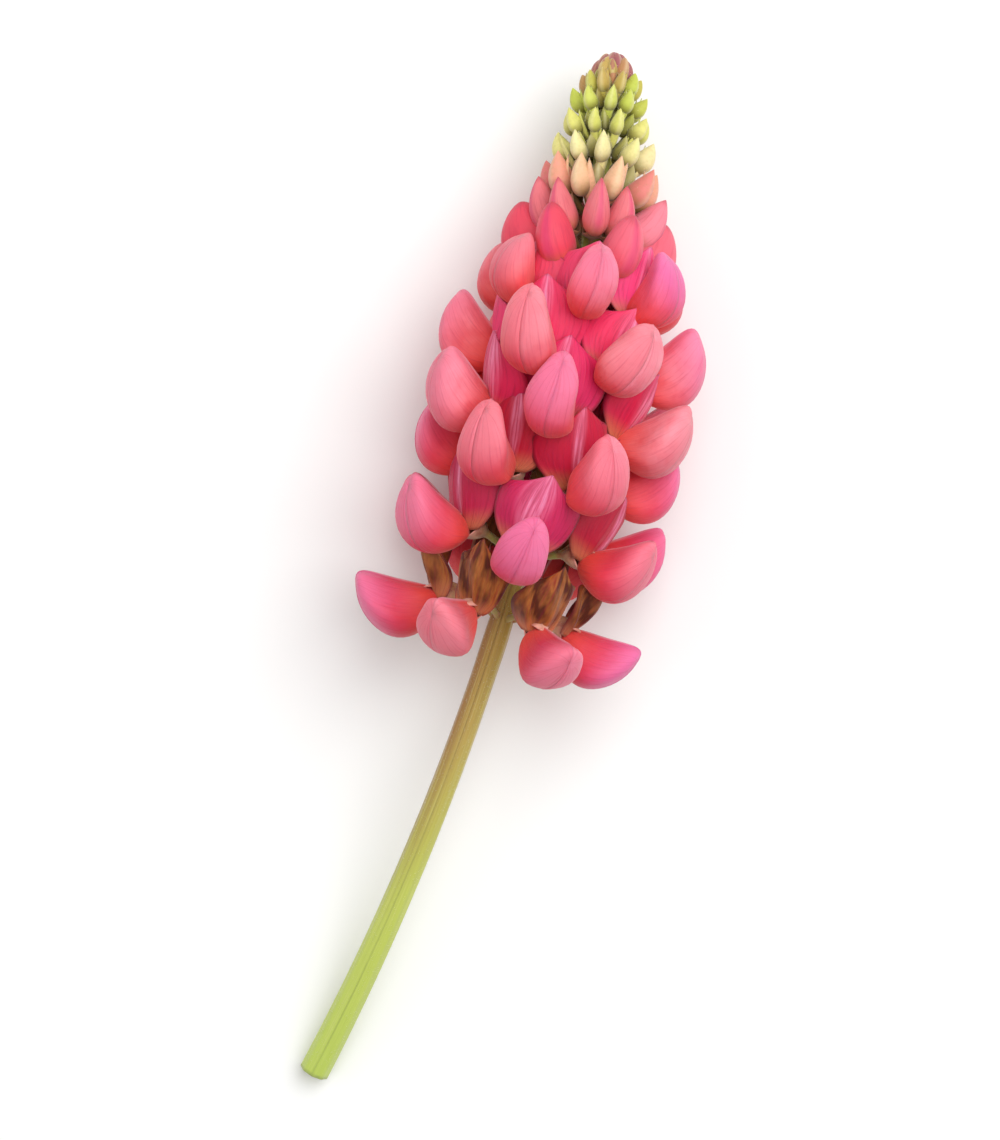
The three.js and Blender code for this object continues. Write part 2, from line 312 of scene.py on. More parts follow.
def grow(first, last, per_whorl):
    """The florets of whorls first to last - 1, as arrays with one row for each floret.

    Whorls alternate, so a floret stands over a gap in the whorl below. One that would reach through the
    surface is pressed up along the stem until its tip lies on it. A first of 9.5 gives places between whorls.
    """
    size = sizes()
    whorl = np.repeat(np.arange(first, last), per_whorl)
    index = np.tile(np.arange(per_whorl), len(whorl) // per_whorl)
    number = whorl * BUDS_IN_WHORL + index
    share = 1 - (1 - whorl / WHORLS) ** WHORL_CROWDING
    openness = 1 - smoothstep(share, *CLOSING)
    pedicel = lerp(PEDICEL_LENGTH, TIP_PEDICEL_LENGTH, smoothstep(share, *STALK_SHORTENING))
    length = lerp(size.flower_length, TIP_BUD_LENGTH, smoothstep(share, *SHRINKING))
    length = length * (1 + scatter(number, SIZE_SCATTER))
    distance = size.stem_length + size.spike_length * share
    radius = stem_radius(distance)
    point, along, side, up = axis_at(distance)

    azimuth = 2 * np.pi * (index + 0.5 * ((whorl + 1) % 2)) / per_whorl + scatter(number, TURN_SCATTER)
    outward = turned(up, side, azimuth)
    lean = lerp(OLD_LEAN, OPEN_LEAN, smoothstep(share, *OLD_TO_FRESH))
    lean = lerp(lean, BUD_LEAN, smoothstep(share, *TURNING_UP))
    lean = lerp(lean, TIP_LEAN, smoothstep(share, *STRAIGHTENING))
    lean = np.radians(lean) + scatter(number, LEAN_SCATTER)
    stalk_lean = math.radians(PEDICEL_LEAN)
    stalk_reach = radius + math.sin(stalk_lean) * pedicel
    room = point[:, 2] / np.maximum(-outward[:, 2], LEAST_DROP) - stalk_reach - PRESS_MARGIN * length
    pressed = room < length
    flattest = np.arcsin(np.clip(room / length, PRESSED_REACH, 1))
    lean = np.where(pressed, np.minimum(lean, flattest), lean)

    beside = np.cross(outward, along)
    forward = turned(turned(along, outward, lean), beside, ~pressed * scatter(number, YAW_SCATTER))
    upright = turned(along, outward, lean - np.pi / 2)
    upward = turned(upright, np.cross(forward, upright), ~pressed * scatter(number, ROLL_SCATTER))
    stalk_way = turned(along, outward, stalk_lean)
    root = point + outward * (PEDICEL_ROOT * radius)[:, None]
    base = point + outward * radius[:, None] + stalk_way * pedicel[:, None]
    fresh = lerp(CLOSED_SPREAD, OPEN_SPREAD, openness)
    spread = lerp(OLD_SPREAD, fresh, smoothstep(share, *SPREAD_SETTLES))
    return SimpleNamespace(
        count=len(whorl),
        number=number,
        share=share,
        openness=openness,
        length=length,
        size=length / FULL_FLOWER,
        azimuth=azimuth,
        spread=np.minimum(np.radians(spread), lean - math.radians(STEM_MARGIN)),
        root=root,
        base=base,
        stalk=np.linalg.norm(base - root, axis=-1),
        stalk_way=stalk_way,
        forward=forward,
        upward=upward,
        sideways=np.cross(upward, forward),
    )


def each(values):
    """One value for each floret, ready to go with a grid of rows and columns."""
    return np.asarray(values)[:, None, None]


def in_floret(florets, forward, sideways, upward):
    """Points from their distances forward, sideways and upward of each calyx base."""
    return (
        florets.base[:, None, None]
        + forward[..., None] * florets.forward[:, None, None]
        + sideways[..., None] * florets.sideways[:, None, None]
        + upward[..., None] * florets.upward[:, None, None]
    )


def along_floret(florets, reach, share, across, depth):
    """Points round the curve that a floret follows, from inside the stem to reach past its calyx base.

    The curve is a quadratic Bezier that leaves the stem along the stalk and ends along the floret. A point
    lies at a share of it, and across it by two distances: sideways, and towards the side that faces the
    stem's tip.
    """
    start = florets.root
    bend = start + florets.stalk_way * florets.stalk[:, None]
    end = florets.base + florets.forward * np.asarray(reach)[:, None]
    start, bend, end = (p[:, None, None] for p in (start, bend, end))
    share = share[..., None]
    point = (1 - share) ** 2 * start + 2 * share * (1 - share) * bend + share**2 * end
    tangent = (1 - share) * (bend - start) + share * (end - bend)
    sideways = florets.sideways[:, None, None]
    dorsal = unit(np.cross(tangent, np.broadcast_to(sideways, tangent.shape)))
    return point + sideways * across[..., None] + dorsal * depth[..., None]


def small_buds(first, last, per_whorl, depth=1.0, reach=1.0):
    """The florets of small buds, where each begins, its girth and how its drop swells and tapers.

    Depth and reach are shares of a floret's own stalk and length. The topmost ones stand closer to the axis
    and are blunter, so that they close into a dome.
    """
    florets = grow(first, last, per_whorl)
    depth = depth * (1 - DOME_DEPTH * smoothstep(florets.share, *DOMING))
    florets.base = lerp(florets.root, florets.base, depth[:, None])
    florets.stalk = florets.stalk * depth
    florets.length = florets.length * reach
    taper = lerp(BUD_TAPER, TIP_BUD_TAPER, smoothstep(each(florets.share), *BLUNTING))
    return florets, (BUD_FOOT - 1) * florets.stalk, BUD_GIRTH, (BUD_SWELL, taper)


# ---- meshes ----


def rows(number, low=0.0, high=1.0):
    """Even values down a grid."""
    return np.linspace(low, high, number)[None, :, None]


def columns(number, low=0.0, high=1.0):
    """Even values across a grid."""
    return np.linspace(low, high, number)[None, None, :]


def turns(number):
    """Even angles once round a tube."""
    return columns(number + 1, 0, 2 * np.pi)[..., :-1]


def crowded(along):
    """Shares that crowd at both ends: half of 1 minus the cosine of pi times along."""
    return (1 - np.cos(np.pi * along)) / 2


def grid_faces(patches, height, width, wrap):
    """The quads of several grids that follow each other, each of height rows and width columns."""
    counts = (patches, height - 1, width if wrap else width - 1)
    patch, row, column = np.meshgrid(*map(np.arange, counts), indexing="ij")
    beside = (column + 1) % width
    here = patch * height * width + row * width
    quads = np.stack([here + column, here + width + column, here + width + beside, here + beside], axis=-1)
    return quads.reshape(-1, 4)


def new_object(name, data):
    """An object of the scene, at the origin."""
    made = bpy.data.objects.new(name, data)
    bpy.context.scene.collection.objects.link(made)
    return made


def grid_piece(name, points, wrap=False, closed=False, lowest=0.0, **values):
    """One object of many grids.

    points has the shape patches, rows, columns, 3, in millimetres. Each further value is stored as an
    attribute of that name, and u and v make the UV map. Doubled points at poles are merged, and a closed
    shape gets its faces turned outwards.
    """
    shape = points.shape[:3]
    flat = points.reshape(-1, 3) * MM
    flat[:, 2] = np.maximum(flat[:, 2], lowest * MM)
    faces = grid_faces(*shape, wrap)
    mesh = bpy.data.meshes.new(name)
    mesh.from_pydata(flat, [], faces)
    mesh.polygons.foreach_set("use_smooth", np.ones(len(faces), bool))
    u, v = (np.broadcast_to(values.pop(key), shape).ravel() for key in ("u", "v"))
    for key, value in values.items():
        attribute = mesh.attributes.new(key, "FLOAT", "POINT")
        attribute.data.foreach_set("value", np.broadcast_to(value, shape).ravel().astype(np.float32))
    corner = faces.ravel()
    layer = mesh.uv_layers.new(name="surface")
    layer.data.foreach_set("uv", np.stack([u[corner], v[corner]], axis=-1).ravel().astype(np.float32))
    work = bmesh.new()
    work.from_mesh(mesh)
    bmesh.ops.remove_doubles(work, verts=work.verts, dist=MERGE_DISTANCE)
    if closed:
        bmesh.ops.recalc_face_normals(work, faces=work.faces)
    work.to_mesh(mesh)
    work.free()
    mesh.update()
    return new_object(name, mesh)


def thicken(piece, millimetres, offset):
    """Gives a sheet its thickness, on the back (-1) or half on either side (0)."""
    solidify = piece.modifiers.new("Thickness", "SOLIDIFY")
    solidify.thickness = millimetres * MM
    solidify.offset = offset
    solidify.use_rim = True


def finish_piece(piece, material, node):
    """Gives a piece its material and its place on the body, and hides the node of the model that it stands
    for.
    """
    piece.data.materials.append(material)
    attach(piece, "root")
    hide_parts(node)


# ---- materials ----


def shade(value):
    """The linear colour of a hex code, with an alpha of 1, and any other value as it is."""
    return (*linear(value), 1.0) if isinstance(value, str) else value


# Two nodes that most materials use, as add takes them.
SMOOTH = {"kind": "ShaderNodeMapRange", "interpolation_type": "SMOOTHSTEP"}
TIMES = {"kind": "ShaderNodeMath", "operation": "MULTIPLY"}


def add(tree, kind, inputs=(), ramp=(), out=0, **settings):
    """Adds a node with its settings, gives its inputs values or links, and returns one of its outputs.

    Inputs are listed in their order, or given by name or place. A ramp is a list of places and colours.
    """
    node = tree.nodes.new(kind)
    for key, value in settings.items():
        setattr(node, key, value)
    if ramp:
        elements = node.color_ramp.elements
        while len(elements) < len(ramp):
            elements.new(0.5)
        for element, (position, colour) in zip(elements, ramp):
            element.position = position
            element.color = shade(colour)
    for key, value in inputs.items() if isinstance(inputs, dict) else enumerate(inputs):
        if isinstance(value, bpy.types.NodeSocket):
            tree.links.new(value, node.inputs[key])
        else:
            node.inputs[key].default_value = shade(value)
    return node.outputs[out] if node.outputs else None


def new_material(name, *attributes):
    """An empty material, its node tree, and the attributes of the surface that it reads."""
    material = bpy.data.materials.new(name)
    material.use_nodes = True
    tree = material.node_tree
    tree.nodes.clear()
    read = (add(tree, "ShaderNodeAttribute", out="Fac", attribute_name=key) for key in attributes)
    return material, tree, *read


def layered(tree, tint, *layers):
    """Lays colours over a tint, one after another, each by its share.

    A layer is its colour and its share, or its colour, a value, the range of that value in which the colour
    comes or goes smoothly, and its share at either end of the range.
    """
    for colour, share, *fade in layers:
        if fade:
            share = add(tree, inputs=[share, *fade], **SMOOTH)
        tint = add(tree, "ShaderNodeMix", {0: share, 6: tint, 7: colour}, out=2, data_type="RGBA")
    return tint


def streaks(tree, across, along):
    """Noise drawn out along the surface: so many streaks across it, and so many along it."""
    place = add(tree, "ShaderNodeUVMap", uv_map="surface")
    drawn = add(tree, "ShaderNodeMapping", {"Vector": place, "Scale": (across, along, 1.0)})
    return add(tree, "ShaderNodeTexNoise", {"Vector": drawn, "Scale": 1.0, "Detail": 3.0})


def mottle(tree, millimetres):
    """Even noise in space, with grains of a size in millimetres."""
    place = add(tree, "ShaderNodeTexCoord", out="Object")
    return add(tree, "ShaderNodeTexNoise", {"Vector": place, "Scale": 1 / (millimetres * MM), "Detail": 3.0})


def surface(tree, colour, height, relief, finish):
    """Ends a tree in a Principled shader, with a bump whose full height is relief, in millimetres."""
    bump = add(tree, "ShaderNodeBump", {"Height": height, "Strength": 1.0, "Distance": relief * MM})
    shader = add(tree, "ShaderNodeBsdfPrincipled", {"Base Color": colour, "Normal": bump} | finish)
    add(tree, "ShaderNodeOutputMaterial", {"Surface": shader})


# A petal is a few cells thick, so light enters it and comes out a millimetre away, reddened.
PETAL = {
    "Roughness": 0.52,
    "Specular IOR Level": 0.25,
    "Subsurface Weight": 0.3,
    "Subsurface Radius": (1.0, 0.35, 0.3),
    "Subsurface Scale": 0.0012,
    "Sheen Weight": 0.1,
    "Sheen Roughness": 0.4,
}

# Green skin is thicker, passes yellow-green light, and is dulled by down too fine to see.
SKIN = {
    "Roughness": 0.6,
    "Subsurface Weight": 0.15,
    "Subsurface Radius": (0.8, 0.9, 0.3),
    "Subsurface Scale": 0.001,
    "Sheen Weight": 0.25,
    "Sheen Roughness": 0.5,
}


def wing_petal():
    """Wing petals: smooth satin tissue, coral at the foot and pinker at the rounded end, with fine veins."""
    colour = colours()
    material, tree, age, pale, rosy, below, along, rim = new_material(
        "wing_petal", "share", "pale", "rosy", "below", "along", "rim"
    )
    # The share read here is the floret's age, pulled older and darker crimson on the side of the stem away
    # from the light: painted shade.
    ramp = [(0.0, colour.wing_old), (0.12, "eb4056"), (0.3, colour.wing_fresh), (0.6, "f86460")]
    rosier = add(tree, inputs=[rosy, 0.52], **TIMES)
    cloud = mottle(tree, 5.0)
    veins = streaks(tree, 44, 2.4)
    tint = layered(
        tree,
        add(tree, "ShaderNodeValToRGB", [age], ramp),
        # pale and rosy lean to the side of the stem towards the light, as painted light, over an even
        # scatter; the two halves of a pair differ in pale as painted light and shade.
        (colour.wing_pale, pale),
        ("fa4688", rosier),
        ("e03446", cloud, 0.4, 0.68, 0.0, 0.45),
        # Darker crimson towards the bottom seam: painted shade on the underside of the pair.
        ("cd2144", below, 0.4, 1.0, 0.0, 0.6),
        ("ea4a38", along, 0.1, 0.72, 0.85, 0.0),
        (layered(tree, "fd8f9e", ("f47cc4", rosy)), along, 0.5, 1.0, 0.0, 0.62),
        # A pale line along the seams and near the foot and end: a painted highlight.
        ("ffb4c0", rim, 0.0, 0.06, 0.6, 0.0),
        ("c22f50", veins, 0.48, 0.74, 0.0, 0.32),
    )
    uneven = add(tree, "ShaderNodeMath", [cloud, 3.0, veins], operation="MULTIPLY_ADD")
    surface(tree, tint, uneven, 0.12, PETAL)
    return material


def standard_petal():
    """Standard petals: crimson to magenta, pale along the middle crease partly as a painted highlight, and
    brown and dry when old.
    """
    colour = colours()
    material, tree, age, rosy, crease, along, rim = new_material(
        "standard_petal", "share", "rosy", "crease", "along", "rim"
    )
    wobble = add(tree, "ShaderNodeMath", [streaks(tree, 6, 1.7), -0.42], operation="ADD")
    reach = add(tree, inputs=[age, 0.02, 0.1, 0.2, 0.05], **SMOOTH)
    age = add(tree, "ShaderNodeMath", [wobble, reach, age], operation="MULTIPLY_ADD")
    fresh = add(tree, inputs=[age, 0.06, 0.1], **SMOOTH)
    rosy = add(tree, inputs=[rosy, fresh], **TIMES)
    rosy = add(tree, inputs=[rosy, 0.6], **TIMES)
    veins = streaks(tree, 30, 2.0)
    broken = add(tree, inputs=[veins, 0.3, 0.6, 1.0, 0.35], **SMOOTH)
    crease = add(tree, inputs=[crease, 0.0, 0.34, 0.85, 0.0], **SMOOTH)
    crease = add(tree, inputs=[crease, broken], **TIMES)
    crease = add(tree, inputs=[crease, fresh], **TIMES)
    ramp = [
        (0.0, colour.standard_old),
        (0.035, "ad6a30"),
        (0.058, "8a3a1c"),
        (0.085, "b01f34"),
        (0.28, colour.standard_fresh),
        (0.4, colour.standard_young),
        (0.6, "ee5a6c"),
    ]
    tint = layered(
        tree,
        add(tree, "ShaderNodeValToRGB", [age], ramp),
        # rosy leans to the side of the stem towards the light, as painted light, over an even scatter.
        ("f53f92", rosy),
        # A pale band beside the middle crease, set off to one side: partly the petal's own pale middle,
        # partly a painted highlight on the lit side of the fold.
        ("fba2c8", crease),
        ("cf7f58", along, 0.02, 0.3, 0.8, 0.0),
        ("6e1230", rim, 0.0, 0.1, 0.6, 0.0),
        ("8c1238", veins, 0.48, 0.7, 0.0, 0.35),
    )
    surface(tree, tint, veins, 0.2, PETAL)
    return material


def keel_petal():
    """Keel petals: a pale sickle with a dark purple point, between the wings."""
    material, tree, along = new_material("keel_petal", "along")
    tint = add(tree, "ShaderNodeValToRGB", [along], [(0.0, "e9c7a4"), (0.6, "f0a3ac"), (0.9, "8c2b56")])
    surface(tree, tint, mottle(tree, 0.6), 0.05, PETAL)
    return material


def bud_petal():
    """Closed buds: the folded standard, coral pink with a rosy ridge and a tan foot."""
    colour = colours()
    material, tree, age, pale, crease, along = new_material("bud_petal", "share", "pale", "crease", "along")
    ramp = [(0.55, "e04a5e"), (0.61, colour.bud_pink), (0.66, "e2727e"), (0.76, "dba086")]
    # pale leans to the side of the stem towards the light, as painted light, over an even scatter and paler
    # higher up.
    paler = add(tree, inputs=[pale, 0.8], **TIMES)
    veins = streaks(tree, 30, 2.5)
    tint = layered(
        tree,
        add(tree, "ShaderNodeValToRGB", [age], ramp),
        ("f58fa2", paler),
        ("d83f74", crease, 0.0, 0.16, 0.55, 0.0),
        ("d98a64", along, 0.1, 0.42, 0.7, 0.0),
        ("a83244", along, 0.88, 1.0, 0.0, 0.45),
        ("ad2c48", veins, 0.5, 0.7, 0.0, 0.25),
    )
    surface(tree, tint, veins, 0.1, PETAL)
    return material


def bud_skin():
    """Young buds: downy skin, cream where they begin to colour, yellow-green above and reddish at the tip."""
    colour = colours()
    material, tree, age, crease, along = new_material("bud_skin", "share", "crease", "along")
    ramp = [
        (0.722, "de6f74"),
        (0.75, "e8a285"),
        (0.79, colour.bud_cream),
        (0.85, "dfd978"),
        (0.93, colour.bud_green),
        (0.962, "c0a64e"),
        (0.984, "bd8458"),
        (1.0, "a45c62"),
    ]
    spots = mottle(tree, 0.7)
    tint = layered(
        tree,
        add(tree, "ShaderNodeValToRGB", [age], ramp),
        # An olive foot: the bud's own colour, deepened into painted shade for the gaps between buds.
        ("6c6418", along, 0.02, 0.55, 0.9, 0.0),
        ("f4edc2", crease, 0.0, 0.2, 0.25, 0.0),
        ("8d8a24", spots, 0.4, 0.75, 0.0, 0.16),
    )
    surface(tree, tint, spots, 0.06, SKIN)
    return material


def calyx_skin():
    """Calyxes and stalks: thin green skin flushed with red, under silky hairs that dull it."""
    material, tree, along = new_material("calyx_skin", "along")
    ramp = [(0.0, "a88a3e"), (0.5, "a9a552"), (0.75, "c79a68"), (1.0, "dd9a8a")]
    tint = layered(
        tree,
        add(tree, "ShaderNodeValToRGB", [along], ramp),
        ("a94e40", mottle(tree, 1.6), 0.42, 0.66, 0.0, 0.6),
    )
    thin = {"Subsurface Weight": 0.12, "Subsurface Radius": (0.8, 0.6, 0.3), "Sheen Weight": 0.3}
    surface(tree, tint, streaks(tree, 24, 6), 0.08, SKIN | thin)
    return material


def stem_skin():
    """The stem: ribbed green skin, reddish brown on its sunny side, paler where it was cut across."""
    colour = colours()
    material, tree, along, sunny, cut = new_material("stem_skin", "along", "sunny", "cut")
    ramp = [
        (0.0, "b9cc58"),
        (0.2, colour.stem_green),
        (0.36, "baa550"),
        (0.48, "ac9036"),
        (0.96, "a8ae42"),
        (1.0, "a8664e"),
    ]
    ribs = streaks(tree, 34, 3)
    broken = add(tree, inputs=[ribs, 0.3, 0.7, 0.55, 1.0], **SMOOTH)
    sunny = add(tree, inputs=[sunny, broken], **TIMES)
    tint = layered(
        tree,
        add(tree, "ShaderNodeValToRGB", [along], ramp),
        (colour.stem_red, sunny),
        ("dcdc8e", streaks(tree, 60, 8), 0.5, 0.75, 0.0, 0.35),
        ("e4e6b4", cut, 0.15, 0.95, 0.0, 1.0),
    )
    surface(tree, tint, ribs, 0.12, SKIN | {"Roughness": 0.5, "Subsurface Scale": 0.0015})
    return material


def silky_hair():
    """Hairs: clear fine threads that catch the light as a pale bloom."""
    material, tree, along = new_material("silky_hair", "along")
    tint = add(tree, "ShaderNodeValToRGB", [along], [(0.0, "dcdcae"), (1.0, "fbfbee")])
    finish = {"Roughness": 0.35, "Sheen Weight": 0.3, "Sheen Roughness": 0.3}
    surface(tree, tint, mottle(tree, 0.3), 0.002, finish)
    return material


def painted_floor():
    """The floor: matt paint, rolled on, with a faint orange-peel grain about 1 mm across."""
    material, tree = new_material("painted_floor")
    grain = mottle(tree, 1.0)
    faint = add(tree, inputs=[grain, 0.02], **TIMES)
    tint = layered(tree, (*bpy.context.scene.lupin_stage.floor, 1.0), ("e8e8e6", faint))
    surface(tree, tint, grain, 0.01, {"Roughness": 0.9, "Specular IOR Level": 0.2})
    return material


# ---- pieces ----

LIT_SIDE = math.radians(10)  # past a quarter turn round the stem from straight up


def petal_tints(florets):
    """How pale, how rosy and how old each floret looks: paler higher up, paler and rosier on the lit side as
    painted light, and older and darker on the far side as painted shade.

    Both tints add a sine round the stem to an even scatter.
    """
    # facing is 1 on the side of the stem towards the key light and -1 on the far side; what it adds is
    # painted light and painted shade.
    facing = np.sin(florets.azimuth - LIT_SIDE)
    chance = scatter(florets.number, PALE_SCATTER)
    other = scatter(florets.number, ROSY_SCATTER)
    high = smoothstep(florets.share, *BRIGHTENING)
    pale = np.clip((0.3 + 0.7 * high) * (0.3 + 0.32 * facing + 0.4 * chance), 0, 1)
    rosy = np.clip(0.25 + 0.2 * facing + 0.55 * other, 0, 1)
    return pale, rosy, florets.share - 0.04 * (1 - facing)


STEM_RIBS = 9
RIB_HEIGHT = 0.07
RIB_TWIST = 23  # the length in which the ribs turn by one radian
SWELLING = 0.12
SWELLING_BELOW = 4
SWELLING_REACH = 5
CUT_DISH = 0.5
TIP_DOME = 3.2
SUNNY_SIDE = math.radians(70)  # round the stem from straight up, towards -X


class LUPIN_OT_stem(bpy.types.Operator):
    """Make the stem, from its cut end to the tip of the spike"""

    bl_idname = "lupin.stem"
    bl_label = "Stem"

    def execute(self, context):
        """A circle carried along the axis, with shallow ribs, a dished face at the cut and a round tip.

        The ribs are a cosine of the turn that twists on the way up, and a bell swells it below the spike.
        """
        size = sizes()
        length = size.stem_length + size.spike_length
        face = np.linspace(0, 1, 7)[:-1]
        body = np.linspace(0, length, 241)
        dome = np.linspace(0, np.pi / 2, 11)[1:]
        distance = np.concatenate([0 * face, body, length + TIP_DOME * np.sin(dome)])[:, None]
        scale = np.concatenate([face, np.ones_like(body), np.cos(dome)])[:, None]
        cut = np.concatenate([np.ones_like(face), 0 * body, 0 * dome])[:, None]
        turn = turns(48)[0]
        point, along, side, up = axis_at(distance)
        rib = RIB_HEIGHT * np.cos(STEM_RIBS * turn + distance / RIB_TWIST)
        swell = SWELLING * bump_of(distance, size.stem_length - SWELLING_BELOW, SWELLING_REACH)
        radius = (stem_radius(distance) + rib + swell) * scale
        dish = CUT_DISH * (1 - scale**2) * cut
        points = (
            point
            + side * (radius * np.sin(turn))[..., None]
            + up * (radius * np.cos(turn))[..., None]
            + along * dish[..., None]
        )
        rise = distance / length
        facing = 0.5 + 0.5 * np.cos(turn + SUNNY_SIDE)
        sunny = smoothstep(rise, 0.12, 0.38) * (1 - smoothstep(rise, 0.6, 0.9)) * facing**1.6
        piece = grid_piece(
            "stem",
            points[None],
            wrap=True,
            closed=True,
            along=rise,
            sunny=sunny,
            cut=cut * (1 - 0.8 * scale**6),
            u=turn / (2 * np.pi),
            v=rise,
        )
        finish_piece(piece, stem_skin(), "stem_and_buds")
        return {"FINISHED"}


CUP_THICKNESS = 0.2
BUD_CUP_LENGTH = 0.09  # of its bud's length, as is the next
BUD_CUP_RADIUS = 0.15
STALK_RADIUS = 0.55
BUD_STALK_RADIUS = 0.4
BUD_CUP_ALONG = 0.2  # keeps a small bud's cup in the colour of its foot


class LUPIN_OT_stalks(bpy.types.Operator):
    """Make the stalk and the two-lipped calyx of every floret and bud"""

    bl_idname = "lupin.stalks"
    bl_label = "Stalks and calyxes"

    def execute(self, context):
        """Each is a tube along its floret's curve that widens smoothly into a cup with two longer lips.

        The lips reach further by a power of the cosine of the turn.
        """
        pink = grow(0, PINK_WHORLS, FLORETS_IN_WHORL)
        young = small_buds(PINK_WHORLS, WHORLS, BUDS_IN_WHORL)[0]
        pink.reach, young.reach = CALYX_LENGTH * pink.size, young.length
        pink.begin, young.begin = pink.stalk, BUD_FOOT * young.stalk
        pink.end, young.end = pink.begin + pink.reach, young.begin + BUD_CUP_LENGTH * young.length
        pink.wide, young.wide = CALYX_RADIUS * pink.size, BUD_CUP_RADIUS * young.length
        for name, florets, thin, deep, colouring, material in (
            ("calyxes", pink, STALK_RADIUS, 1.1, 1.0, calyx_skin()),
            ("bud_calyxes", young, BUD_STALK_RADIUS, 1.25, BUD_CUP_ALONG, bud_skin()),
        ):
            share = rows(21)
            turn = turns(24)
            cup = each(florets.begin / florets.end)
            lip = 1 + 0.3 * np.abs(np.cos(turn)) ** 1.5 * smoothstep(share, 0.7, 1)
            foot = thin + 0.15 * bump_of(share, 0.0, 0.08)
            rim = each(florets.wide) * (1.05 + 0.1 * smoothstep(share, 0.9, 1))
            radius = lerp(foot, rim, smoothstep(share, cup - 0.08, lerp(cup, 1, 0.6)))
            across, depth = radius * np.sin(turn), radius * np.cos(turn) * deep
            part = share * lip * each(florets.end / (florets.stalk + florets.reach))
            piece = grid_piece(
                name,
                along_floret(florets, florets.reach, part, across, depth),
                wrap=True,
                lowest=CUP_CLEARANCE,
                share=each(florets.share + scatter(florets.number, BUD_TINT_SCATTER)),
                along=colouring * share,
                crease=1,
                u=turn / (2 * np.pi),
                v=share,
            )
            thicken(piece, CUP_THICKNESS, -1)
            finish_piece(piece, material, "stem_and_buds")
        return {"FINISHED"}


WING_GRID = 25
WING_SAG = 1.6
WING_UPTURN = 2.6
WING_END_LIFT = 0.9
WING_CREST = 0.55
WING_GAPE = 0.08
WING_SLIP = 0.08
WING_FOOT_DROP = 1.0
WING_NARROWING = 0.3


def wing_shape(florets, along, across):
    """The surface of a wing, for shares along it and from the top seam round the outside to the bottom one.

    Its section is half an ellipse that narrows upwards, is pinched at both seams and rises in a thin crest
    at the top one. Its size swells as share^0.25 times ring^0.68, where ring is the half chord of a circle at
    that share. The middle line sags by a sine and turns up with the square of the share, and the end lifts
    with its sixth power.
    """
    size = sizes()
    width = size.wing_width * (1 + each(scatter(florets.number, WING_WIDTH_SCATTER)))
    depth = size.wing_depth * (1 + each(scatter(florets.number, WING_DEPTH_SCATTER)))
    share = crowded(along)
    ring = np.sin(np.pi * along)
    swell = share**0.25 * ring**0.68
    middle = WING_UPTURN * share**2 - WING_SAG * np.sin(np.pi * share) - WING_FOOT_DROP
    angle = np.pi * across
    pinch = (1 - 0.5 * bump_of(across, 0, 0.12)) * (1 - 0.35 * bump_of(across, 1, 0.08))
    flat = 1 - 0.1 * bump_of(across, 0.42, 0.2) * ring
    gape = WING_GAPE * bump_of(across, 0, 0.1) * ring * (1 - share) ** 2
    flat_top = 1 - 0.12 * bump_of(across, 0, 0.25)
    sideways = width / 2 * swell * np.sin(angle) * (1 - WING_NARROWING * np.cos(angle)) * pinch * flat + gape
    crest = WING_CREST * bump_of(across, 0, 0.045) * ring
    upward = middle + depth / 2 * swell * np.cos(angle) * flat_top + WING_END_LIFT * share**6 + crest
    return lerp(CALYX_LENGTH + PETAL_GAP, FULL_FLOWER, share), sideways, upward, share


class LUPIN_OT_wings(bpy.types.Operator):
    """Make the two wings of every open floret"""

    bl_idname = "lupin.wings"
    bl_label = "Wings"

    def execute(self, context):
        """Each pair is two thin half shells that meet along the bottom and gape a little along the top.

        A pair bows and snakes sideways by sines of the share, and each half folds by two slanting sines.
        """
        florets = grow(0, OPEN_WHORLS, FLORETS_IN_WHORL)
        along = rows(WING_GRID)
        across = columns(WING_GRID) ** 1.3
        forward, sideways, upward, share = wing_shape(florets, along, across)
        scale = each(florets.size)
        bow, snake = (each(scatter(florets.number, rule)) for rule in (WING_BOW_SCATTER, WING_SNAKE_SCATTER))
        sway = (bow * np.sin(np.pi * share) + 0.5 * snake * np.sin(2 * np.pi * share)) * np.sin(np.pi * along)
        halves = []
        for hand in (-1, 1):
            phase = each(florets.number) + 2.0 * hand
            fold = 0.42 * np.sin(5 * share + 6 * across + phase)
            fold = fold + 0.2 * np.sin(12 * across - 7 * share + 2 * phase)
            bulge = sideways + fold * np.sin(np.pi * across) * np.sin(np.pi * along)
            bulge = bulge * (1 + 0.07 * hand * np.sin(1.7 * each(florets.number)))
            slip = WING_SLIP * np.sin(phase) * np.sin(np.pi * along / 2)
            outward = (hand * bulge + sway) * scale
            points = in_floret(florets, (forward + slip) * scale, outward, upward * scale)
            halves.append(points if hand > 0 else points[:, :, ::-1])
        # pale, rosy and look carry the painted light and shade of petal_tints.
        pale, rosy, look = petal_tints(florets)
        # lit makes the half on one hand paler and the other darker, most on florets that face up: painted
        # light and painted shade.
        lit = 0.06 + 0.22 * np.maximum(np.cos(florets.azimuth), 0)
        way_round = np.broadcast_to(across, (florets.count, WING_GRID, WING_GRID))
        way_round = np.concatenate([way_round[:, :, ::-1], way_round])
        piece = grid_piece(
            "wings",
            np.concatenate(halves),
            lowest=SHELL_CLEARANCE,
            share=each(np.tile(look, 2)),
            pale=each(np.clip(np.concatenate([pale - lit, pale + lit]), 0, 1)),
            rosy=each(np.tile(rosy, 2)),
            along=share,
            below=way_round,
            rim=np.minimum(way_round, 1.05 - way_round) + 0.3 * (1 - np.sin(np.pi * along)) ** 2,
            u=way_round,
            v=share,
        )
        thicken(piece, sizes().petal_thickness, -1)
        finish_piece(piece, wing_petal(), "petals")
        return {"FINISHED"}


KEEL_START = 4.5
KEEL_END = 17.0
KEEL_HALF_WIDTH = 0.9
KEEL_HALF_DEPTH = 3.0
KEEL_UPTURN = 3.2
KEEL_FOOT_DROP = 0.6


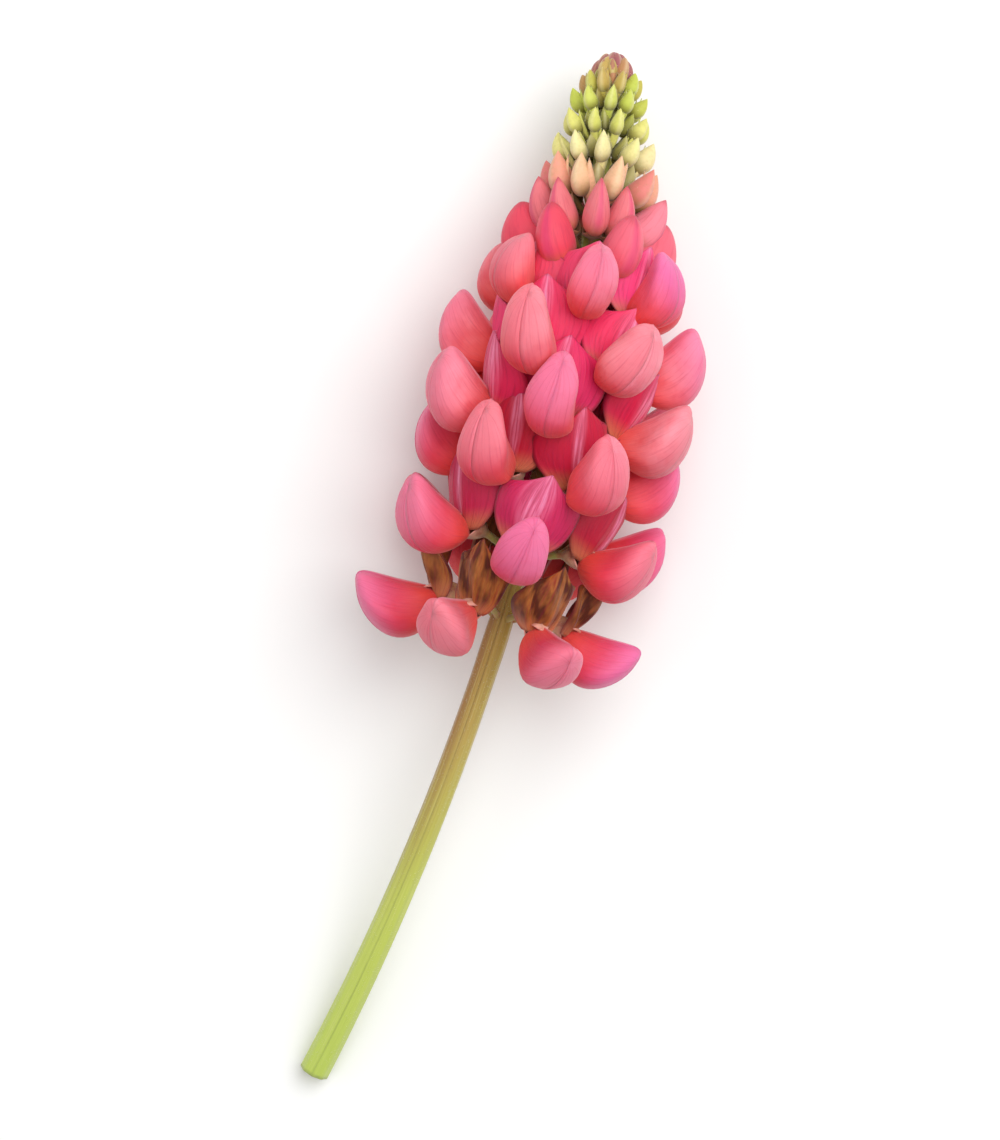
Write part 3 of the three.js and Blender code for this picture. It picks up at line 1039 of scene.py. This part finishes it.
class LUPIN_OT_keels(bpy.types.Operator):
    """Make the keel inside the wings of every open floret"""

    bl_idname = "lupin.keels"
    bl_label = "Keels"

    def execute(self, context):
        """Each is a narrow pointed sickle along the middle of the wings.

        Its section is an ellipse whose size is a power of a sine, and it turns up by the share's square.
        """
        florets = grow(0, OPEN_WHORLS, FLORETS_IN_WHORL)
        along = rows(13)
        turn = turns(10)
        share = crowded(along)
        body = np.sin(np.pi * along) ** 0.8
        middle = KEEL_UPTURN * share**2 - WING_SAG * np.sin(np.pi * share) - KEEL_FOOT_DROP
        scale = each(florets.size)
        points = in_floret(
            florets,
            lerp(KEEL_START, KEEL_END, share) * scale,
            KEEL_HALF_WIDTH * body * np.sin(turn) * scale,
            (middle + KEEL_HALF_DEPTH * body * np.cos(turn)) * scale,
        )
        values = {"along": share, "u": turn / (2 * np.pi), "v": share}
        piece = grid_piece("keels", points, wrap=True, closed=True, lowest=KEEL_CLEARANCE, **values)
        finish_piece(piece, keel_petal(), "petals")
        return {"FINISHED"}


STANDARD_FOOT = 1.3
STANDARD_DROP = 1.0
STANDARD_BULGE = 1.2
STANDARD_CREASE = 0.5
OPEN_BEND_RADIUS = 8.0
CLOSED_BEND_RADIUS = 5.5


class LUPIN_OT_standards(bpy.types.Operator):
    """Make the standard, the upright petal, of every open floret"""

    bl_idname = "lupin.standards"
    bl_label = "Standards"

    def execute(self, context):
        """Each is a broad blade bent back round its middle, creased along it, pointed at the top and wavy.

        Its half width is a power of a sine of the height, it bends back as an arc of a circle, and it waves
        by a sine that grows with the square of the distance from the middle. Withered ones are narrower,
        rolled tighter and crumpled by a second sine.
        """
        size = sizes()
        florets = grow(0, OPEN_WHORLS, FLORETS_IN_WHORL)
        height = rows(21)
        across = columns(27, -1)
        number = each(florets.number)
        withered = each(1 - smoothstep(florets.share, *WITHERED_BELOW))
        bend = each(lerp(CLOSED_BEND_RADIUS, OPEN_BEND_RADIUS, florets.openness)) * (1 - 0.35 * withered)
        tilt = each(florets.spread)
        half_width = size.standard_half_width * np.sin(np.pi * lerp(0.07, 0.9, height)) ** 0.75
        half_width = half_width * (1 - 0.2 * withered)
        turn = across * half_width / bend * (1 + 0.15 * np.abs(across) ** 3)
        rounding = (0.24 + 0.14 * withered) * height**4 * np.abs(across) ** 1.3
        rise = size.standard_height * (height * 1.06 - rounding)
        wave = (0.7 + 0.5 * withered) * np.sin(6 * height + 2 * number + 2.5 * across) * np.abs(across) ** 2
        wave = wave + 0.7 * withered * np.sin(8 * across + 4 * height + number) * np.sin(np.pi * height)
        crease = STANDARD_CREASE * bump_of(across, 0, 0.07) * (1 - 0.5 * height)
        depth = bend * (np.cos(turn) - 1) + STANDARD_BULGE * np.sin(np.pi * height) - crease + wave
        forward = CALYX_LENGTH + STANDARD_FOOT + rise * np.cos(tilt) + depth * np.sin(tilt)
        upward = rise * np.sin(tilt) - depth * np.cos(tilt) - STANDARD_DROP
        scale = each(florets.size)
        # The pale band sits off the middle, on one side of the fold, as a lit side would: partly a painted
        # highlight.
        off_middle = np.abs(across - 0.16 * np.sin(2 * number))
        piece = grid_piece(
            "standards",
            in_floret(florets, forward * scale, bend * np.sin(turn) * scale, upward * scale),
            lowest=BLADE_CLEARANCE,
            share=each(florets.share),
            # rosy carries the painted light of petal_tints.
            rosy=each(petal_tints(florets)[1]),
            along=height,
            crease=off_middle * (1.7 - height) * (1.2 - 0.6 * np.sin(3 * number)),
            rim=np.minimum(1 - np.abs(across), 1.05 - height),
            u=0.5 + across / 2,
            v=height,
        )
        thicken(piece, size.petal_thickness, 0)
        finish_piece(piece, standard_petal(), "petals")
        return {"FINISHED"}


BUD_DEPTH = 1.3  # over its width
BUD_BELLY = 0.35  # of its girth


def drop_radius(share, fullness):
    """A drop's radius over its widest: share^p times (1 - share)^q over its own peak; fullness is p, q."""
    p, q = fullness
    peak = (p / (p + q)) ** p * (q / (p + q)) ** q
    return share**p * (1 - share) ** q / peak


def bud_piece(name, florets, foot, girth, fullness, height, width, light=1.0, **values):
    """Closed buds, as drops along each floret's curve, deeper than wide, with a seam on the outer side.

    foot is the distance past the calyx base at which a drop begins, and height and width count its points.
    The belly hangs away from the stem by a sine of the share.
    """
    turn = turns(width)
    share = crowded(rows(height))
    fat = girth * florets.length
    radius = each(fat) * drop_radius(share, fullness)
    away = np.abs(turn - np.pi)
    shape = 1 + 0.1 * bump_of(away, np.pi, 0.35)
    shape = shape + 0.08 * bump_of(away, 0, 0.5) - 0.07 * bump_of(away, 0, 0.14)
    start = (florets.stalk + foot) / (florets.stalk + florets.length)
    belly = -BUD_BELLY * each(fat) * np.sin(np.pi * share)
    points = along_floret(
        florets,
        florets.length,
        lerp(each(start), 1, share),
        radius * shape * np.sin(turn),
        radius * shape * np.cos(turn) * BUD_DEPTH + belly,
    )
    # light under 1 draws the olive foot further up the drop, as painted shade.
    values = values | {"along": light * share, "crease": away / np.pi, "u": turn / (2 * np.pi), "v": share}
    return grid_piece(name, points, wrap=True, closed=True, lowest=SHELL_CLEARANCE, **values)


class LUPIN_OT_pink_buds(bpy.types.Operator):
    """Make the closed pink buds above the open florets"""

    bl_idname = "lupin.pink_buds"
    bl_label = "Pink buds"

    def execute(self, context):
        """A whorl of fat buds that stand on calyxes, and one of slim drops above it."""
        fat = grow(OPEN_WHORLS, PINK_WHORLS, FLORETS_IN_WHORL)
        slim = grow(PINK_WHORLS, PINK_WHORLS + 1, BUDS_IN_WHORL)
        fat_form = (CALYX_LENGTH * fat.size + PETAL_GAP, 0.25, (0.45, 0.6))
        slim_form = (0.0, 0.225, (0.5, 0.85))
        for name, florets, form, node, slot in (
            ("fat_buds", fat, fat_form, "petals", "pink_petal"),
            ("slim_buds", slim, slim_form, "stem_and_buds", "green_stem"),
        ):
            # petal_tints' pale carries painted light from the side of the stem that faces the light.
            pale = petal_tints(florets)[0]
            piece = bud_piece(name, florets, *form, 29, 32, share=each(florets.share), pale=each(pale))
            finish_piece(piece, bud_petal(), node)
        return {"FINISHED"}


class LUPIN_OT_green_buds(bpy.types.Operator):
    """Make the cream and green buds that crowd the tip"""

    bl_idname = "lupin.green_buds"
    bl_label = "Green buds"

    def execute(self, context):
        """Drops along each bud's curve, with a ridge, smaller towards the tip.

        Those between whorls stand deeper in, and the olive of a bud's foot reaches further up them as painted
        shade.
        """
        for name, buds, light in (
            ("green_buds", small_buds(PINK_WHORLS + 1, WHORLS, BUDS_IN_WHORL), 1.0),
            # The inner buds' light of 0.32 is painted shade in the gaps between whorls.
            ("inner_buds", small_buds(PINK_WHORLS + 1.5, WHORLS, BUDS_IN_WHORL, 0.55, 0.85), 0.32),
            ("tip_buds", small_buds(WHORLS, WHORLS + 1, TIP_BUDS, 0.55, 1.02), 1.0),
        ):
            look = buds[0].share + scatter(buds[0].number, BUD_TINT_SCATTER)
            piece = bud_piece(name, *buds, 19, 20, light, share=each(look))
            finish_piece(piece, bud_skin(), "stem_and_buds")
        return {"FINISHED"}


BRACT_HALF_WIDTH = 0.15  # of its bud's length, as is the next
BRACT_DEPTH = 0.36
BRACT_THICKNESS = 0.16


class LUPIN_OT_bracts(bpy.types.Operator):
    """Make the narrow bracts between the young buds"""

    bl_idname = "lupin.bracts"
    bl_label = "Bracts"

    def execute(self, context):
        """Each is a narrow pointed blade under its bud, hollowed like a boat and curved in at the point.

        Its half width is a power of a sine of the share, and it comes in with the share's square.
        """
        along = rows(9)
        across = columns(5, -1)
        for name, first in (("bracts", PINK_WHORLS + 2), ("inner_bracts", PINK_WHORLS + 1.25)):
            florets = grow(first, WHORLS, BUDS_IN_WHORL)
            length = each(florets.length)
            half_width = BRACT_HALF_WIDTH * length * np.sin(np.pi * along**0.7) ** 0.9
            depth = -BRACT_DEPTH * length * (1 - along**2) + 0.5 * half_width * across**2
            piece = grid_piece(
                name,
                along_floret(florets, florets.length, lerp(0.2, 0.85, along), half_width * across, depth),
                lowest=BLADE_CLEARANCE,
                share=each(florets.share),
                along=0.5 + along / 2,
                crease=1,
                u=0.5 + across / 2,
                v=along,
            )
            thicken(piece, BRACT_THICKNESS, 0)
            finish_piece(piece, bud_skin(), "stem_and_buds")
        return {"FINISHED"}


HAIR_SEED = 11
HAIR_RADIUS = 0.022
HAIR_ROOT = 0.05  # how deep a hair stands in the stem or a calyx
BUD_HAIR_ROOT = 0.02
NOT_A_HAIR = (0.3, 0.1, 0.94)  # a direction that no hair has, to find the ones across it


def hair_points(foot, way, length):
    """Straight three-sided spikes from a foot, along a direction, as grids of three rows."""
    across = unit(np.cross(way, np.broadcast_to(NOT_A_HAIR, way.shape)))
    other = np.cross(way, across)
    turn = np.radians([0, 120, 240])
    ring = across[:, None] * np.cos(turn)[None, :, None] + other[:, None] * np.sin(turn)[None, :, None]
    base = foot[:, None] + HAIR_RADIUS * ring
    tip = np.broadcast_to((foot + way * length[:, None])[:, None], base.shape)
    return np.stack([np.broadcast_to(foot[:, None], base.shape), base, tip], axis=1)


class LUPIN_OT_hairs(bpy.types.Operator):
    """Make the silky hairs on the stem, the calyxes and the buds"""

    bl_idname = "lupin.hairs"
    bl_label = "Hairs"

    def execute(self, context):
        """Fine spikes at seeded places, which lean towards the tip of what they stand on."""
        size = sizes()
        hairs = context.scene.lupin_hairs
        random = np.random.default_rng(HAIR_SEED)

        distance = random.uniform(1, size.stem_length + 0.75 * size.spike_length, hairs.on_stem)
        turn = random.uniform(0, 2 * np.pi, hairs.on_stem)
        point, along, side, up = axis_at(distance)
        outward = turned(up, side, turn)
        feet = [point + outward * (stem_radius(distance) - HAIR_ROOT)[:, None]]
        ways = [outward + along * random.uniform(0.2, 1.0, (hairs.on_stem, 1))]

        pink = grow(0, PINK_WHORLS, FLORETS_IN_WHORL)
        young, _, girth, fullness = small_buds(PINK_WHORLS + 1, WHORLS, BUDS_IN_WHORL)
        cup_share = random.uniform(0.3, 1.0, (pink.count, 1, hairs.on_calyx))
        bud_share = random.uniform(0.05, 0.95, (young.count, 1, hairs.on_bud))
        cup_radius = lerp(STALK_RADIUS, each(CALYX_RADIUS * pink.size), smoothstep(cup_share, 0.6, 0.85))
        bud_radius = each(girth * young.length) * drop_radius(bud_share, fullness)
        bud_start = each(BUD_FOOT * young.stalk / (young.stalk + young.length))
        for florets, reach, share, radius in (
            (pink, CALYX_LENGTH * pink.size, cup_share, cup_radius - HAIR_ROOT),
            (young, young.length, lerp(bud_start, 1, bud_share), bud_radius - BUD_HAIR_ROOT),
        ):
            turn = random.uniform(0, 2 * np.pi, share.shape)
            foot = along_floret(florets, reach, share, radius * np.sin(turn), radius * np.cos(turn))
            middle = along_floret(florets, reach, share, 0 * radius, 0 * radius)
            ahead = along_floret(florets, reach, share + 0.02, 0 * radius, 0 * radius)
            way = unit(foot - middle) + 0.7 * unit(ahead - middle)
            feet.append(foot.reshape(-1, 3))
            ways.append(way.reshape(-1, 3))

        foot = np.concatenate(feet)
        way = unit(np.concatenate(ways) + random.normal(0, 0.15, (len(foot), 3)))
        length = size.hair_length * random.uniform(0.6, 1.1, len(foot))
        keep = foot[:, 2] + way[:, 2] * length > HAIR_CLEARANCE
        keep &= foot[:, 2] > HAIR_CLEARANCE
        points = hair_points(foot[keep], way[keep], length[keep])
        share = np.array([0.0, 0.0, 1.0])[None, :, None]
        piece = grid_piece("hairs", points, wrap=True, closed=True, along=share, u=0.5, v=share)
        finish_piece(piece, silky_hair(), "stem_and_buds")
        return {"FINISHED"}


# The stage, in metres. A light's place is right of the spike's middle, up the picture and above the floor.
FLOOR_HALF = 1.5
MIDDLE_HEIGHT = 0.02  # where the picture has its size
SENSOR = 36.0  # millimetres
CLIP_START = 0.01
KEY_PLACE = (0.3, 0.27, 0.8)
KEY_WIDTH = 0.95
FILL_PLACE = (-0.6, 0.1, 0.7)
FILL_WIDTH = 0.9


class LUPIN_OT_stage(bpy.types.Operator):
    """Set out the floor, the soft lights and the camera"""

    bl_idname = "lupin.stage"
    bl_label = "Floor, lights and camera"

    def execute(self, context):
        """The camera looks straight down on the whole spike, turned so that it leans to the right."""
        scene = context.scene
        stage = scene.lupin_stage

        corners = [(x * FLOOR_HALF, y * FLOOR_HALF, 0) for x, y in ((-1, -1), (1, -1), (1, 1), (-1, 1))]
        mesh = bpy.data.meshes.new("floor")
        mesh.from_pydata(corners, [], [(0, 1, 2, 3)])
        floor = new_object("floor", mesh)
        mesh.materials.append(painted_floor())

        right = Vector((math.cos(stage.lean), math.sin(stage.lean), 0))
        up = Vector((-math.sin(stage.lean), math.cos(stage.lean), 0))
        back = Vector((0, 0, 1))
        points = np.concatenate(
            [np.array([v.co for v in node.data.vertices]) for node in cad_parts.values()]
        )
        widths = points @ np.array(right)
        heights = points @ np.array(up)
        centre = right * (widths.min() + widths.max()) / 2 + up * (heights.min() + heights.max()) / 2

        camera = new_object("camera", bpy.data.cameras.new("camera"))
        scene.camera = camera
        picture = (heights.max() - heights.min()) * stage.margin
        camera.data.sensor_width = SENSOR
        camera.data.lens = SENSOR * (stage.camera_height - MIDDLE_HEIGHT) / picture
        camera.data.clip_start = CLIP_START
        place = centre + back * stage.camera_height
        turn = Matrix((right, up, back)).transposed()
        camera.matrix_world = Matrix.Translation(place) @ turn.to_4x4()

        for name, power, width, (x, y, z) in (
            ("key_light", stage.key_power, KEY_WIDTH, KEY_PLACE),
            ("fill_light", stage.fill_power, FILL_WIDTH, FILL_PLACE),
        ):
            light = new_object(name, bpy.data.lights.new(name, "AREA"))
            light.data.energy = power
            light.data.shape = "DISK"
            light.data.size = width
            spot = centre + right * x + up * y + back * z
            aim = (centre - spot).to_track_quat("-Z", "Y")
            light.matrix_world = Matrix.Translation(spot) @ aim.to_matrix().to_4x4()

        world = bpy.data.worlds.new("sky")
        scene.world = world
        world.use_nodes = True
        background = world.node_tree.nodes["Background"]
        background.inputs["Color"].default_value = (1.0, 1.0, 1.0, 1.0)
        background.inputs["Strength"].default_value = stage.sky
        scene.view_settings.view_transform = "Standard"
        return {"FINISHED"}


OPERATORS = (
    LUPIN_OT_stage,
    LUPIN_OT_stem,
    LUPIN_OT_stalks,
    LUPIN_OT_wings,
    LUPIN_OT_keels,
    LUPIN_OT_standards,
    LUPIN_OT_pink_buds,
    LUPIN_OT_green_buds,
    LUPIN_OT_bracts,
    LUPIN_OT_hairs,
)


class LUPIN_PT_panel(bpy.types.Panel):
    """Lists the pieces of the spike, and what can be changed"""

    bl_label = "Lupin flower spike"
    bl_space_type = "VIEW_3D"
    bl_region_type = "UI"
    bl_category = "Lupin"

    def draw(self, context):
        for operator in OPERATORS:
            self.layout.operator(operator.bl_idname)
        for name in GROUPS:
            group = getattr(context.scene, name)
            for key in group.__annotations__:
                self.layout.prop(group, key)


def register():
    for group in GROUPS.values():
        bpy.utils.register_class(group)
    for operator in OPERATORS:
        bpy.utils.register_class(operator)
    bpy.utils.register_class(LUPIN_PT_panel)
    for name, group in GROUPS.items():
        setattr(bpy.types.Scene, name, PointerProperty(type=group))


def unregister():
    for name in GROUPS:
        delattr(bpy.types.Scene, name)
    bpy.utils.unregister_class(LUPIN_PT_panel)
    for operator in reversed(OPERATORS):
        bpy.utils.unregister_class(operator)
    for group in reversed(GROUPS.values()):
        bpy.utils.unregister_class(group)


def main():
    """Makes every piece in order."""
    register()
    for operator in OPERATORS:
        group, name = operator.bl_idname.split(".")
        getattr(getattr(bpy.ops, group), name)()


if __name__ == "__main__":
    main()
